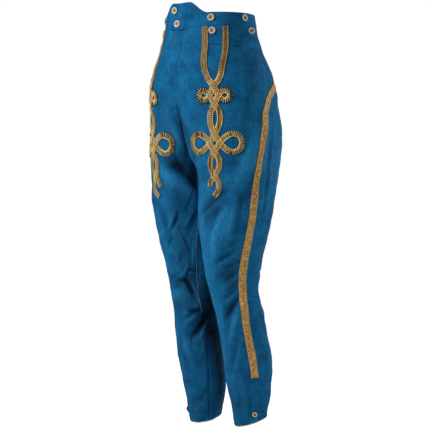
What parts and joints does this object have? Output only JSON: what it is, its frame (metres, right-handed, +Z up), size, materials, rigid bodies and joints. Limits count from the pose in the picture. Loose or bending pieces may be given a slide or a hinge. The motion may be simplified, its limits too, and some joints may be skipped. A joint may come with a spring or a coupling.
{
  "type": "hussar trousers",
  "caption": "Close-cut blue cloth trousers in worn form with a high waistband, gold side lace, braided thigh knots and buttoned hems.",
  "frame": {"origin": "centre of the waist, level with the seam under the waistband", "axes": "+Z up along the body, the front faces -Y, the wearer's left is +X"},
  "size_m": [0.3573, 0.26, 0.9911],
  "materials": {
    "blue_cloth": "milled wool cloth with a short nap",
    "gold_lace": "woven gold thread, softly shining",
    "bone": "polished bone, brown in the sunk middle",
    "white_cotton": "plain cotton"
  },
  "bodies": {
    "root": {"back_panel_left": "blue_cloth", "back_panel_right": "blue_cloth", "brace_button_front_lower_left": "bone", "brace_button_front_lower_right": "bone", "brace_button_front_upper_left": "bone", "brace_button_front_upper_right": "bone", "brace_button_side_lower_left": "bone", "brace_button_side_lower_right": "bone", "brace_button_side_upper_left": "bone", "brace_button_side_upper_right": "bone", "fly": "blue_cloth", "front_panel_left": "blue_cloth", "front_panel_right": "blue_cloth", "hem_button_left": "bone", "hem_button_right": "bone", "hem_facing_left": "white_cotton", "hem_facing_right": "white_cotton", "pocket_welt": "blue_cloth", "side_lace_left": "gold_lace", "side_lace_right": "gold_lace", "thigh_knot_left": "gold_lace", "thigh_knot_right": "gold_lace", "vent_flap_left": "blue_cloth", "vent_flap_right": "blue_cloth", "waist_button_lower": "bone", "waist_button_upper": "bone", "waistband_left": "blue_cloth", "waistband_right": "blue_cloth"}
  },
  "joints": []
}
